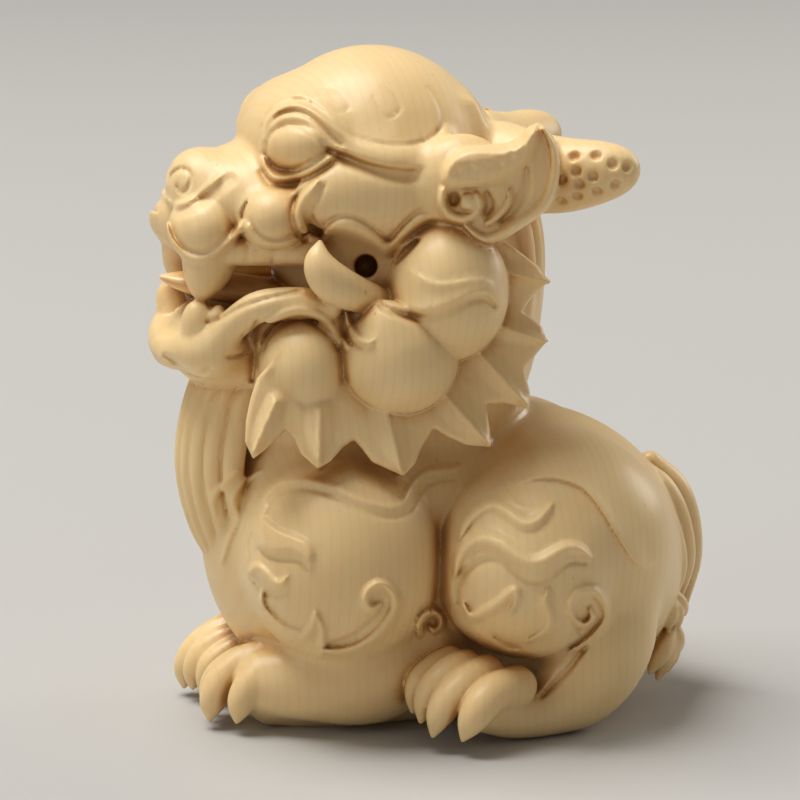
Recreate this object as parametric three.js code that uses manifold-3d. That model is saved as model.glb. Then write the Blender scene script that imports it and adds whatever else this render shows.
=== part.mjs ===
// A seated qilin carved from one piece of boxwood. Millimetres, +Z up.
// The beast looks along -Y, its left side is +X, and it stands on z = 0.

import * as THREE from 'three';
import { mergeVertices } from 'three/addons/utils/BufferGeometryUtils.js';
import Module from 'manifold-3d';

const wasm = await Module();
wasm.setup();

// Driving dimensions of the masses on the middle plane: centre and half sizes along X, Y and Z.
const CHEST = { at: [0, -8, 17], half: [16.2, 13.9, 15.5] };
const BACK = { at: [0, 4, 17.5], half: [15.5, 15, 13.8] };
const RUMP = { at: [0, 12.4, 12.4], half: [17.2, 14.2, 14.2] };
const NECK = { at: [0, -0.5, 40], half: [11.8, 11.8, 17.4] };
const THROAT = { at: [0, -9, 34], half: [9.4, 10, 8.8] };
const SKULL = { at: [0, -4.2, 53.8], half: [12.2, 12.8, 10.7] };
const FOREHEAD = { at: [0, -10, 57], half: [10.4, 8.4, 6.2] };
const JAW = { at: [0, -15.6, 36.6], half: [9.8, 10.8, 5.8] };

// The snout narrows from the skull to the nose and is wider than it is high.
const SNOUT = [[0, -8, 52.4], [0, -13, 51.8], [0, -18.4, 51.2], [0, -23.4, 52]];
const SNOUT_RADII = [10.4, 9.2, 7.8, 4.6];
const SNOUT_FLATNESS = 0.6;

// Masses on the near side, repeated on the far side by mirroring.
const SHOULDER = { at: [9.2, -10.4, 16.8], half: [9.8, 9.8, 10.4] };
const HAUNCH = { at: [13.4, 7.2, 16.6], half: [10.2, 10, 10] };
const NOSTRIL_WING = { at: [2.5, -23.5, 52.2], half: [2.9, 2.8, 2.8] };
const FRONT_LIP = { at: [4.8, -20.9, 49], half: [4.3, 4.2, 4] };
const REAR_LIP = { at: [8.7, -15.4, 49.4], half: [3.8, 4.2, 3.6] };
const CHEEK = { at: [10.4, -6.8, 51.4], half: [3.7, 8.2, 4.4] };
const CHEEK_CURL = { at: [11.4, -14.2, 51], radius: 2 };
const EYE = { at: [8.3, -14.8, 56.3], half: [2.4, 3.3, 1.9] };
const CURLS = [
  { at: [10.2, -14.6, 35.7], radius: 4.7 },
  { at: [12.6, -5.6, 37.2], radius: 5.7 },
  { at: [12.4, -0.8, 43.6], radius: 6.1 },
];

// The legs, as lines of centres with their radii.
const FORELEG = [[9, -5, 8], [9.4, -7, 5], [9.2, -11, 4], [8, -15.6, 4.4], [7.4, -18.4, 4.4]];
const FORELEG_RADII = [2, 5.6, 4.8, 4.6, 3.4];
const HIND_LEG = [[11, 17, 14], [13, 17, 9], [14.6, 14.5, 4.8], [16, 9.5, 3.4], [17.6, 3.2, 4]];
const HIND_LEG_RADII = [3, 7.2, 5.6, 4.2, 3.2];
const FOREFOOT = { at: [7.2, -17, 3.8], half: [4.7, 4.6, 4.2] };
const HIND_FOOT = { at: [18, 1.8, 3.6], half: [4.6, 5, 4] };

const FLOOR_DEPTH = 8;
const WOOD_COLOR = 0xe6c079;

// The joins leave short edges, which are drawn together where no face turns over.
const SHORTEST_EDGE = 0.6;
const WELD_PASSES = 3;
const LEAST_AGREEMENT = 0.5;

// The masses are faceted finely, the small features coarsely.
const FINE = { around: 18, down: 11 };
const SMOOTH = { around: 15, down: 9 };
const PLAIN = { around: 12, down: 8 };
const COARSE = { around: 8, down: 6 };

// A closed three.js geometry becomes a solid with its faces pointing out.
function solid(geometry) {
  geometry.deleteAttribute('normal');
  geometry.deleteAttribute('uv');
  const merged = mergeVertices(geometry, 1e-4);
  const points = merged.attributes.position.array;
  const corners = [];
  for (let i = 0; i < merged.index.count; i += 3) {
    const [a, b, c] = [0, 1, 2].map((k) => merged.index.getX(i + k));
    if (a !== b && b !== c && c !== a) corners.push([a, b, c]);
  }
  const volume = corners.reduce((sum, [a, b, c]) => {
    const [p, q, r] = [a, b, c].map((n) => new THREE.Vector3().fromArray(points, 3 * n));
    return sum + p.dot(q.cross(r));
  }, 0);
  const outward = volume > 0 ? corners : corners.map(([a, b, c]) => [a, c, b]);
  return new wasm.Manifold(new wasm.Mesh({
    numProp: 3,
    vertProperties: Float32Array.from(points),
    triVerts: Uint32Array.from(outward.flat()),
  }));
}

// An ellipsoid with its poles along Z, turned about X, Y and Z by degrees.
function egg({ at, half }, detail = PLAIN, turn = [0, 0, 0]) {
  const geometry = new THREE.SphereGeometry(1, detail.around, detail.down);
  geometry.rotateX(Math.PI / 2);
  geometry.scale(...half);
  const [x, y, z] = turn.map(THREE.MathUtils.degToRad);
  geometry.applyMatrix4(new THREE.Matrix4().makeRotationFromEuler(new THREE.Euler(x, y, z)));
  geometry.translate(...at);
  return geometry;
}

function ball({ at, radius }, detail = PLAIN) {
  return egg({ at, half: [radius, radius, radius] }, detail);
}

// The value at u from 0 to 1 along evenly spaced entries, joined by straight lines.
function along(values, u) {
  const place = u * (values.length - 1);
  const low = Math.min(Math.floor(place), values.length - 2);
  return THREE.MathUtils.lerp(values[low], values[low + 1], place - low);
}

// A turned profile bent along a smooth curve, flattened towards the given side direction.
function stem(points, radii, { sides = 5, steps = 5, flat = 1, towards = [1, 0, 0] } = {}) {
  const curve = new THREE.CatmullRomCurve3(points.map((p) => new THREE.Vector3(...p)));
  const profile = [new THREE.Vector2(0, 0)];
  for (let i = 0; i <= steps; i += 1) profile.push(new THREE.Vector2(along(radii, i / steps), i / steps));
  profile.push(new THREE.Vector2(0, 1));
  const geometry = new THREE.LatheGeometry(profile, sides);
  const places = geometry.attributes.position;
  const thin = new THREE.Vector3(...towards);
  for (let n = 0; n < places.count; n += 1) {
    const u = places.getY(n);
    const centre = curve.getPointAt(u);
    const tangent = curve.getTangentAt(u);
    const wide = new THREE.Vector3().crossVectors(tangent, thin).normalize();
    const deep = new THREE.Vector3().crossVectors(wide, tangent).normalize();
    centre.addScaledVector(wide, places.getX(n)).addScaledVector(deep, places.getZ(n) * flat);
    places.setXYZ(n, centre.x, centre.y, centre.z);
  }
  return geometry;
}

// A point of a side drawing, given as offsets along Y and Z, laid onto a rounded mass.
function onSide({ at, half }, [dy, dz]) {
  const out = Math.sqrt(Math.max(0.02, 1 - (dy / half[1]) ** 2 - (dz / half[2]) ** 2));
  return [at[0] + half[0] * out, at[1] + dy, at[2] + dz];
}

// A raised scroll: a line drawn on the side of a mass, pointed at both ends.
function scroll(mass, line) {
  const width = SCROLL_WIDTH;
  return stem(line.map((p) => onSide(mass, p)), [0.2, width, width, width, 0.2], { sides: 5, steps: line.length + 2 });
}

// The head: the brow's raised rim, the rim under the cheek, the lower lip, the tusk, a lower tooth and the tongue.
const BROW = [[5.4, -18, 58], [8, -15.2, 60.3], [10.2, -11.6, 58.8], [11.2, -7.2, 57], [11.6, -2, 57.2]];
const BROW_RADII = [0.7, 1.6, 1.7, 1.6, 0.8];
const CHEEK_RIM = [
  [12.2, -15, 49.2], [12.7, -12.3, 48.8], [13.1, -10.5, 49.2], [13.3, -7.4, 47.4], [13.3, -4.8, 49], [12.9, -1.8, 49.8],
];
const LOWER_LIP = [[0.5, -25.6, 37.2], [4, -24.6, 37.4], [6.6, -22.5, 38.2], [8.5, -20, 40.2], [10.5, -17.2, 41.8],
  [11.5, -13.4, 42.2]];
const TUSK = [[11.2, -7.9, 42.1], [12, -10.3, 42.7], [12.4, -12.4, 44.4], [12.2, -13.3, 47.8]];
const LOWER_TOOTH = [[5, -22.4, 37], [5, -22.8, 39.4], [4.8, -22.4, 41.6]];
const TONGUE = [[0, -14, 40.4], [0, -19, 40.4], [0, -23.6, 41.4], [0, -26.8, 42.4]];
const HORN = [[7, 3.4, 54.6], [9.4, 8.6, 53.4], [12, 12.4, 53.2], [14.6, 16.4, 54]];
const HORN_RADII = [4.4, 4, 3.5, 3, 2.2, 0.8];

// The ear is a leaf held out from the head: its outline along Y and Z, hollowed inside, with a curl at its root.
const EAR_OUTLINE = [[-3.2, 52], [-2.6, 55.2], [0, 57.1], [4.1, 57.5], [6.3, 59.1], [8.4, 56.7], [8.5, 52.9],
  [6.4, 50], [2, 47.6], [-1.2, 49.2]];
const EAR_BACK = 14.6;
const EAR_THICKNESS = 2.2;
const EAR_BEVEL = 0.6;
const EAR_HOLLOW = { at: [18.2, 3, 52.8], half: [1.8, 4, 3] };
const EAR_CURL = { at: [17.2, 0, 51.6], radius: 1.5 };

// The mane collar fans out round the cheek curls: spikes whose roots overlap, from the throat round to the nape.
const COLLAR_CENTRE = [-5.2, 39.4];
const COLLAR_INNER = 5.4;
const COLLAR_FLARE = 3.6;
const COLLAR_THICKNESS = 1.9;
const COLLAR_TIPS = [
  { at: [10.4, -19.1, 26.9], width: 2.9 },
  { at: [14, -13.9, 26.5], width: 3.5 },
  { at: [16.6, -6.4, 26.1], width: 4.2 },
  { at: [16.8, 2.1, 28.4], width: 3.8 },
  { at: [15.4, 6.5, 31.9], width: 3.4 },
  { at: [14.2, 8.5, 37.7], width: 3.6 },
  { at: [13, 9, 43.1], width: 3.8 },
];

// The mane hangs down the back of the neck in strands.
const MANE_STRANDS = [0, 3.6, 7];
const MANE_RADII = [0.8, 2.2, 2.3, 1.9, 0.7];

// The beard is a lock of parallel strands that lies on the chest.
const BEARD_STRANDS = 5;
const BEARD_SPREAD = 4.2;
const BEARD_RADII = [1.6, 1.7, 1.5, 1.2, 0.5];

// Scrollwork drawn on the shoulder and the haunch, as offsets along Y and Z from their middles.
const SCROLL_WIDTH = 0.95;
const SHOULDER_SCROLLS = [
  [[-9, 6.2], [-6.7, 8.6], [-1.5, 7.6], [3, 6.1], [5, 7.4]],
  [[-8.8, 4.2], [-7.3, 3.2], [-5.1, 1.6]],
  [[-8.8, -1.8], [-6.9, -4.5], [-5.4, -4.8], [-4.7, -3.1]],
  [[-4, -6.7], [-0.3, -6.6], [2.5, -4.4], [3.2, -2.3], [1.6, -0.9], [0.2, -2], [1.2, -3.2]],
];
const HAUNCH_SCROLLS = [
  [[-8.4, 4.2], [-6.9, 6.3], [-4.4, 6.1], [-2, 5.5], [-0.6, 7]],
  [[-8.9, 1.8], [-7.6, 4], [-5.5, 4], [-2.9, 2.1], [0.2, 3.4], [3, 2]],
  [[-7.9, -2.8], [-5.6, -1.8], [-4.2, -1], [-4.5, -3.2]],
  [[-0.8, -1.3], [-1.6, -3.2], [-2.9, -5]],
  [[1.5, -7.3], [4.4, -5.4], [5.1, -3.4], [3.5, -1.5], [2.2, -2.8], [2.9, -4.4]],
];

// A long leaf lies over the haunch and down the flank.
const LEAF = [[9.4, 5, 25.2], [12.6, 8.8, 25.2], [14.6, 12, 23.4], [15.8, 15, 19.2], [14.6, 18.6, 15.2]];
const LEAF_RADII = [0.4, 1, 1.4, 1.3, 0.4];

// The tail lies up the rump in locks that spring from its root at the floor.
const TAIL_LOCKS = [
  { line: [[0.8, 21.4, 2.4], [2.2, 24.6, 6.6], [1.8, 25.6, 12.4], [1.4, 23.6, 18], [0.6, 20, 21.4]],
    radii: [1.6, 2.6, 2.6, 2.1, 0.6] },
  { line: [[3.6, 21.4, 2.6], [6.4, 23, 7], [6.2, 23.4, 12], [5.4, 21.8, 16.8]], radii: [1.4, 2.2, 2.1, 0.6] },
  { line: [[7.4, 19.6, 3.4], [10, 20.4, 7.2], [10.2, 20.2, 11.4]], radii: [1.2, 2, 1.6, 0.6] },
];

// The toes of each paw fan out from its middle: where it is, how far they reach and their bearings in radians.
const TOES = 4;
const TOE_RADII = [1.9, 1.95, 1.6, 0.5];
const FRONT_PAW = { at: [7.2, -16.4], reach: [5.2, 6.3], from: -0.72, to: 0.8 };
const HIND_PAW = { at: [18, 2.6], reach: [5, 6.7], from: -0.56, to: 1.02 };

// The toes of a paw bend down to the floor. Each point is a share of the reach, with its height.
function toes({ at, reach, from, to }) {
  const bend = [[0.3, 6.4], [0.72, 6.2], [1, 4.3], [1.04, 0.6]];
  const made = [];
  for (let i = 0; i < TOES; i += 1) {
    const bearing = THREE.MathUtils.lerp(from, to, i / (TOES - 1));
    const line = bend.map(([share, z]) => [
      at[0] + reach[0] * share * Math.sin(bearing), at[1] - reach[1] * share * Math.cos(bearing), z,
    ]);
    made.push(stem(line, TOE_RADII, { sides: 6, steps: 4 }));
  }
  return made;
}

// One spike of the collar: a flat four-sided point with a ridge down its middle.
function spike({ at, width }) {
  const [cy, cz] = COLLAR_CENTRE;
  const outward = new THREE.Vector2(at[1] - cy, at[2] - cz).normalize();
  const root = [at[0] - COLLAR_FLARE, cy + COLLAR_INNER * outward.x, cz + COLLAR_INNER * outward.y];
  const middle = [0, 1, 2].map((n) => THREE.MathUtils.lerp(root[n], at[n], 0.6));
  middle[0] -= 0.2 * COLLAR_FLARE;
  return stem([root, middle, at], [width, width, 0.2], { sides: 4, steps: 2, flat: COLLAR_THICKNESS / width });
}

// The ear's leaf, cut from a sheet with rounded edges.
function ear() {
  const outline = new THREE.SplineCurve([...EAR_OUTLINE, EAR_OUTLINE[0]].map((p) => new THREE.Vector2(...p)));
  const leaf = new THREE.ExtrudeGeometry(new THREE.Shape(outline.getPoints(22).slice(0, -1)), {
    depth: EAR_THICKNESS, steps: 1, bevelSize: EAR_BEVEL, bevelThickness: EAR_BEVEL, bevelOffset: -EAR_BEVEL,
    bevelSegments: 1,
  });
  const [x, y, z] = [[1, 0, 0], [0, 1, 0], [0, 0, 1]].map((axis) => new THREE.Vector3(...axis));
  return leaf.applyMatrix4(new THREE.Matrix4().makeBasis(y, z, x)).translate(EAR_BACK, 0, 0);
}

// The near half of every paired feature.
function nearSide() {
  return [
    egg(SHOULDER, FINE),
    egg(HAUNCH, FINE),
    stem(FORELEG, FORELEG_RADII, { sides: 10, steps: 4 }),
    stem(HIND_LEG, HIND_LEG_RADII, { sides: 10, steps: 5 }),
    egg(FOREFOOT),
    egg(HIND_FOOT),
    ...toes(FRONT_PAW),
    ...toes(HIND_PAW),
    egg(NOSTRIL_WING),
    egg(FRONT_LIP),
    egg(REAR_LIP),
    egg(CHEEK),
    ball(CHEEK_CURL, COARSE),
    egg(EYE, COARSE),
    stem(BROW, BROW_RADII, { sides: 6, steps: 7 }),
    stem(CHEEK_RIM, [0.6, 1, 1.1, 1.1, 0.9, 0.5], { sides: 5, steps: 9 }),
    stem(LOWER_LIP, [1.8, 1.8, 1.6, 1.4, 1.1], { sides: 6, steps: 6 }),
    stem(TUSK, [1.6, 2, 1.7, 0.3], { sides: 6 }),
    stem(LOWER_TOOTH, [1.4, 1.2, 0.2]),
    stem(HORN, HORN_RADII, { sides: 10, steps: 6 }),
    ear(),
    ball(EAR_CURL, COARSE),
    ...CURLS.map((curl) => ball(curl, SMOOTH)),
    ...COLLAR_TIPS.map(spike),
    ...MANE_STRANDS.map(maneStrand),
    stem(LEAF, LEAF_RADII, { sides: 5, steps: 7 }),
    ...TAIL_LOCKS.map(({ line, radii }) => stem(line, radii, { sides: 6, steps: 6 })),
    ...SHOULDER_SCROLLS.map((line) => scroll(SHOULDER, line)),
    ...HAUNCH_SCROLLS.map((line) => scroll(HAUNCH, line)),
  ];
}

// A strand of the mane, from the crown down the nape, at a distance from the middle.
function maneStrand(x) {
  const forward = 0.05 * x * x;
  const line = [[x * 0.6, 5, 60], [x * 0.9, 7.6 - forward, 54.6], [x, 9.6 - forward, 47], [x, 9.8 - forward, 39],
    [x * 0.9, 8.8 - forward, 31]];
  return stem(line, MANE_RADII, { sides: 6, steps: 6, flat: 0.8, towards: [0, 1, 0] });
}

// The strands of the beard, side by side from the chin down to the breast.
function beard() {
  const strands = [];
  for (let i = 0; i < BEARD_STRANDS; i += 1) {
    const x = BEARD_SPREAD * ((2 * i) / (BEARD_STRANDS - 1) - 1);
    const back = 0.09 * x * x;
    const line = [[x * 0.7, -20.6 + back, 33.4], [x, -23 + back, 29], [x, -23.2 + back, 23.4], [x * 0.8, -20.8 + back, 15.6]];
    strands.push(stem(line, BEARD_RADII, { sides: 6, steps: 6 }));
  }
  return strands;
}

const MOUTH = { at: [0, -19.2, 42.6], half: [10.6, 12.6, 3.4] };
const MOUTH_HOLE = { at: [12.4, -9, 45.8], half: [3.4, 2.2, 2] };

function mirrored(geometry) {
  return geometry.clone().scale(-1, 1, 1);
}

const masses = [
  egg(CHEST, FINE), egg(BACK, FINE), egg(RUMP, FINE), egg(NECK, FINE), egg(THROAT), egg(SKULL, FINE), egg(FOREHEAD, FINE),
  egg(JAW, FINE), stem(SNOUT, SNOUT_RADII, { sides: 16, steps: 5, flat: SNOUT_FLATNESS, towards: [0, 0, 1] }),
];
const hollow = egg(MOUTH, PLAIN, [-6, 0, 0]);
const sideHollows = [egg(MOUTH_HOLE, COARSE), egg(EAR_HOLLOW, COARSE)];
const floorSide = 80;
const floor = new THREE.BoxGeometry(floorSide, floorSide, FLOOR_DEPTH).translate(0, 0, -FLOOR_DEPTH / 2);

let body = solid(masses[0]);
const join = (geometry) => {
  body = body.add(solid(geometry));
};
const cut = (geometry) => {
  body = body.subtract(solid(geometry));
};
masses.slice(1).forEach(join);
cut(hollow);
nearSide().forEach((geometry) => {
  join(mirrored(geometry));
  join(geometry);
});
beard().forEach(join);
sideHollows.forEach((geometry) => {
  cut(mirrored(geometry));
  cut(geometry);
});
join(stem(TONGUE, [2, 2.6, 2.2, 0.5], { sides: 6, flat: 0.5, towards: [0, 0, 1] }));
cut(floor);

// Draws each edge shorter than the limit together into its middle, where that folds no face over.
// An edge is drawn together only where its ends share just the two neighbours beside it.
function withoutShortEdges({ vertProperties, triVerts }, shortest) {
  const places = [];
  for (let i = 0; i < vertProperties.length; i += 3) places.push(new THREE.Vector3().fromArray(vertProperties, i));
  const faces = [];
  const around = places.map(() => new Set());
  for (let i = 0; i < triVerts.length; i += 3) {
    const face = [triVerts[i], triVerts[i + 1], triVerts[i + 2]];
    faces.push(face);
    face.forEach((corner) => around[corner].add(face));
  }
  const neighbours = (n) => new Set([...around[n]].flat().filter((m) => m !== n));
  const normal = (corners) => new THREE.Triangle(...corners).getNormal(new THREE.Vector3());
  const turnsOver = (face, ends, middle) => {
    const before = face.map((n) => places[n]);
    const after = face.map((n) => (ends.includes(n) ? middle : places[n]));
    return normal(before).dot(normal(after)) < LEAST_AGREEMENT;
  };
  const drawTogether = (a, b) => {
    const next = neighbours(b);
    const shared = [...neighbours(a)].filter((n) => next.has(n));
    if (shared.length !== 2) return;
    const middle = places[a].clone().add(places[b]).multiplyScalar(0.5);
    const kept = [...around[a], ...around[b]].filter((face) => !(face.includes(a) && face.includes(b)));
    if (kept.some((face) => turnsOver(face, [a, b], middle))) return;
    for (const face of [...around[b]]) {
      if (face.includes(a)) face.forEach((n) => around[n].delete(face));
      else {
        face[face.indexOf(b)] = a;
        around[a].add(face);
      }
    }
    around[b].clear();
    places[a].copy(middle);
  };
  for (let pass = 0; pass < WELD_PASSES; pass += 1) {
    for (let a = 0; a < places.length; a += 1) {
      for (const b of neighbours(a)) {
        if (around[b].size && places[a].distanceTo(places[b]) < shortest) drawTogether(a, b);
      }
    }
  }
  return { places, faces: faces.filter((face) => around[face[0]].has(face)) };
}

// The figure is one piece: slivers that the joins leave loose are dropped.
const [carved] = body.decompose().sort((a, b) => b.volume() - a.volume());
const { places, faces } = withoutShortEdges(carved.getMesh(), SHORTEST_EDGE);
const loose = new THREE.BufferGeometry().setFromPoints(faces.flat().map((n) => places[n]));
const shape = mergeVertices(loose);
shape.computeVertexNormals();

const wood = new THREE.MeshStandardMaterial({ color: WOOD_COLOR, roughness: 0.42, metalness: 0 });
const carving = new THREE.Mesh(shape, wood);
carving.name = 'carved_qilin';

const qilin = new THREE.Group();
qilin.add(carving);

export default qilin;
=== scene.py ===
"""A seated qilin carved from one piece of boxwood, laid out as a Blender add-on.

The wood is a grid of distances to the surface. Rounded forms are joined to it and cut from it, a drawing of
raised and sunken lines is laid on its near side, the far side mirrors the near side, and the surface where the
distance is nought becomes the mesh. All of it is worked out in millimetres and scaled to the frame's box.
"""

import bpy
import numpy as np
from bpy.props import FloatProperty, FloatVectorProperty, IntProperty, PointerProperty
from mathutils import Matrix, Vector


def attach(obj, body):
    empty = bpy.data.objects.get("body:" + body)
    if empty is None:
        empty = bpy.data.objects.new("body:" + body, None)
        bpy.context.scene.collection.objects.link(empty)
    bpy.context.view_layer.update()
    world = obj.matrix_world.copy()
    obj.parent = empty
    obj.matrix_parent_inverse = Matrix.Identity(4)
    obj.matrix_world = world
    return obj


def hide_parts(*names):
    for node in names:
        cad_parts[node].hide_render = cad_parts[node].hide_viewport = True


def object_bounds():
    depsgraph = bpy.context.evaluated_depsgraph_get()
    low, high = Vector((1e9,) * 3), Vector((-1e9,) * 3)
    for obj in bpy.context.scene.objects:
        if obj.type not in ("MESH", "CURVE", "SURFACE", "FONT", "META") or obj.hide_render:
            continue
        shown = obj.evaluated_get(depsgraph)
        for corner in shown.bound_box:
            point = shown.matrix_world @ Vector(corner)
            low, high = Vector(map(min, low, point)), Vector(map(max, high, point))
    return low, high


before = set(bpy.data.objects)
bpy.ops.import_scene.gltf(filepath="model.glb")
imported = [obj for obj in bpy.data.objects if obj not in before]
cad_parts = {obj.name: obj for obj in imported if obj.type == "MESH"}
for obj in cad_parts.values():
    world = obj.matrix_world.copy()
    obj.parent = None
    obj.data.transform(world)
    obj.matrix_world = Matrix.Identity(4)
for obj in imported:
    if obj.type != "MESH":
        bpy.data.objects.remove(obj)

bl_info = {
    "name": "Carved Qilin",
    "version": (1, 0, 0),
    "blender": (4, 5, 0),
    "location": "3D View > Sidebar > Qilin",
    "description": "A seated qilin carved from one piece of boxwood, with its studio",
    "category": "Add Mesh",
}

CAD_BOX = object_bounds()
NODE = "carved_qilin"

# The figure's own height in millimetres, and the block of wood that holds it.
FIGURE_HEIGHT = 64.5
BLOCK_LOW = (-25.5, -29.5, -1.0)
BLOCK_HIGH = (25.5, 29.5, 66.5)

# The view that the drawn lines are given in: the camera's bearing and height in degrees, its distance and what it
# looks at in millimetres, the picture's side in pixels and its scale at that distance.
VIEW_BEARING = 76.0
VIEW_HEIGHT = 11.0
VIEW_DISTANCE = 420.0
VIEW_TARGET = (0.0, -2.4, 29.9)
PICTURE_SIDE = 800
PIXELS_PER_MM = 10.3


def view_axes():
    """The camera's right, up and back directions, from its bearing and its height."""
    bearing, height = np.radians([VIEW_BEARING, VIEW_HEIGHT])
    level = np.array([np.sin(bearing), -np.cos(bearing), 0.0])
    back = level * np.cos(height) + np.array([0.0, 0.0, np.sin(height)])
    right = np.array([np.cos(bearing), np.sin(bearing), 0.0])
    return right, np.cross(back, right), back


RIGHT, UP, BACK = view_axes()
EYE_POINT = np.array(VIEW_TARGET) + VIEW_DISTANCE * BACK
FOCAL_PIXELS = PIXELS_PER_MM * VIEW_DISTANCE


def to_picture(x, y, z):
    """Pixel of each point: its offsets from the camera along right and up, over its depth."""
    f = np.float32
    dx, dy, dz = x - f(EYE_POINT[0]), y - f(EYE_POINT[1]), z - f(EYE_POINT[2])
    depth = -(dx * f(BACK[0]) + dy * f(BACK[1]) + dz * f(BACK[2]))
    u = f(PICTURE_SIDE / 2) + f(FOCAL_PIXELS) * (dx * f(RIGHT[0]) + dy * f(RIGHT[1])) / depth
    v = f(PICTURE_SIDE / 2) - f(FOCAL_PIXELS) * (dx * f(UP[0]) + dy * f(UP[1]) + dz * f(UP[2])) / depth
    return u, v


def sight(u, v):
    """Unit direction of the camera's ray through a pixel."""
    across, down = (u - PICTURE_SIDE / 2) / FOCAL_PIXELS, (v - PICTURE_SIDE / 2) / FOCAL_PIXELS
    way = across * RIGHT - down * UP - BACK
    return way / np.linalg.norm(way)


def at(u, v, x):
    """Point where the ray of a pixel meets the plane at that distance x from the middle."""
    way = sight(u, v)
    return EYE_POINT + (x - EYE_POINT[0]) / way[0] * way


def path(rows):
    """Points of rows that give a pixel and a distance x."""
    return [at(u, v, x) for u, v, x in rows]


# Forms and how they join.


def curve(points, per=8):
    """Smooth curve through rows of numbers, by Catmull and Rom's cubic with `per` steps between rows."""
    p = np.array(points, float)
    if len(p) < 3:
        t = np.linspace(0, 1, per + 1)[:, None]
        return p[0] * (1 - t) + p[-1] * t
    ends = np.vstack([2 * p[0] - p[1], p, 2 * p[-1] - p[-2]])
    t = np.linspace(0, 1, per, endpoint=False)[:, None]
    rows = []
    for a, b, c, d in zip(ends[:-3], ends[1:-2], ends[2:-1], ends[3:]):
        bend, twist = 2 * a - 5 * b + 4 * c - d, d - a + 3 * (b - c)
        rows.append(0.5 * (2 * b + (c - a) * t + bend * t ** 2 + twist * t ** 3))
    return np.vstack(rows + [p[-1:]])


def blend(a, b, soft):
    """The smaller of two distances, lowered by a parabola where they differ by less than `soft`."""
    if soft <= 0:
        return np.minimum(a, b)
    near = np.maximum(soft - np.abs(a - b), 0)
    return np.minimum(a, b) - near * near * np.float32(0.25 / soft)


def overlap(a, b, soft):
    """What two forms have in common: the larger of two distances, rounded where they are close."""
    return -blend(-a, -b, soft)


class Form:
    """A shape: the box it lies in and a function that gives distances to its surface, negative inside."""

    def __init__(self, low, high, distance):
        self.low, self.high, self.distance = np.array(low, float), np.array(high, float), distance


def egg(at, half, tilt=0.0):
    """Ellipsoid, tilted about X by degrees. Its distance is r (r - 1) over the length of r's slope."""
    at, half = np.array(at, float), np.array(half, float)
    c, s = np.float32(np.cos(np.radians(tilt))), np.float32(np.sin(np.radians(tilt)))
    reach = np.array([half[0], np.hypot(half[1] * c, half[2] * s), np.hypot(half[1] * s, half[2] * c)])
    a, b, d = (np.float32(h) for h in half)

    def distance(x, y, z):
        x, y, z = x - np.float32(at[0]), y - np.float32(at[1]), z - np.float32(at[2])
        x, y, z = x / a, (c * y + s * z) / b, (c * z - s * y) / d
        r = np.sqrt(x * x + y * y + z * z)
        slope = np.sqrt((x / a) ** 2 + (y / b) ** 2 + (z / d) ** 2) + np.float32(1e-4)
        return np.where(r < 0.3, np.float32(-0.7 * half.min()), r * (r - 1) / slope)

    return Form(at - reach, at + reach, distance)


def stem(points, radii, per=6, flat=1.0):
    """Round rod along a smooth curve: the distance to its nearest cone. `flat` squeezes it from above."""
    rows = curve(np.column_stack([points, radii]), per)
    centres, sizes = rows[:, :3].copy(), np.maximum(rows[:, 3], 0.02)
    low, high = (centres - sizes[:, None]).min(0), (centres + sizes[:, None]).max(0)
    centres[:, 2] /= flat

    def distance(x, y, z):
        z = z / np.float32(flat)
        best = np.float32(1e3)
        for a, b, ra, rb in zip(centres[:-1], centres[1:], sizes[:-1], sizes[1:]):
            way = (b - a).astype(np.float32)
            px, py, pz = x - np.float32(a[0]), y - np.float32(a[1]), z - np.float32(a[2])
            length = np.float32(max(way @ way, 1e-6))
            t = np.clip((px * way[0] + py * way[1] + pz * way[2]) / length, 0, 1)
            gap = np.sqrt((px - t * way[0]) ** 2 + (py - t * way[1]) ** 2 + (pz - t * way[2]) ** 2)
            best = np.minimum(best, gap - (np.float32(ra) + t * np.float32(rb - ra)))
        return best * np.float32(flat)

    return Form(low, high, distance)


def inside_loop(u, v, loop):
    """Distance in pixels to a closed outline, negative inside it."""
    best = np.full(u.shape, 1e6, np.float32)
    inside = np.zeros(u.shape, bool)
    for (a, b), (c, d) in zip(loop[:-1], loop[1:]):
        e, f = c - a, d - b
        t = np.clip(((u - a) * e + (v - b) * f) / max(e * e + f * f, 1e-6), 0, 1)
        best = np.minimum(best, (u - a - t * e) ** 2 + (v - b - t * f) ** 2)
        if b != d:
            inside ^= ((b > v) != (d > v)) & (u < (c - a) * (v - b) / (d - b) + a)
    return np.where(inside, -1, 1) * np.sqrt(best)


def sheet(outline, middle, thickness, low, high, rounding):
    """Leaf of wood: an outline drawn in pixels, carried along the view, common with a slab about x = middle(y, z)."""
    loop = np.vstack([outline, outline[:1]]).astype(float)

    def distance(x, y, z):
        x, y, z = np.broadcast_arrays(x, y, z)
        edge = inside_loop(*to_picture(x, y, z), loop) / np.float32(PIXELS_PER_MM)
        slab = np.abs(x - middle(y, z)) * np.float32(0.9) - np.float32(thickness / 2)
        return overlap(edge, slab, rounding).astype(np.float32)

    return Form(low, high, distance)


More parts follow.
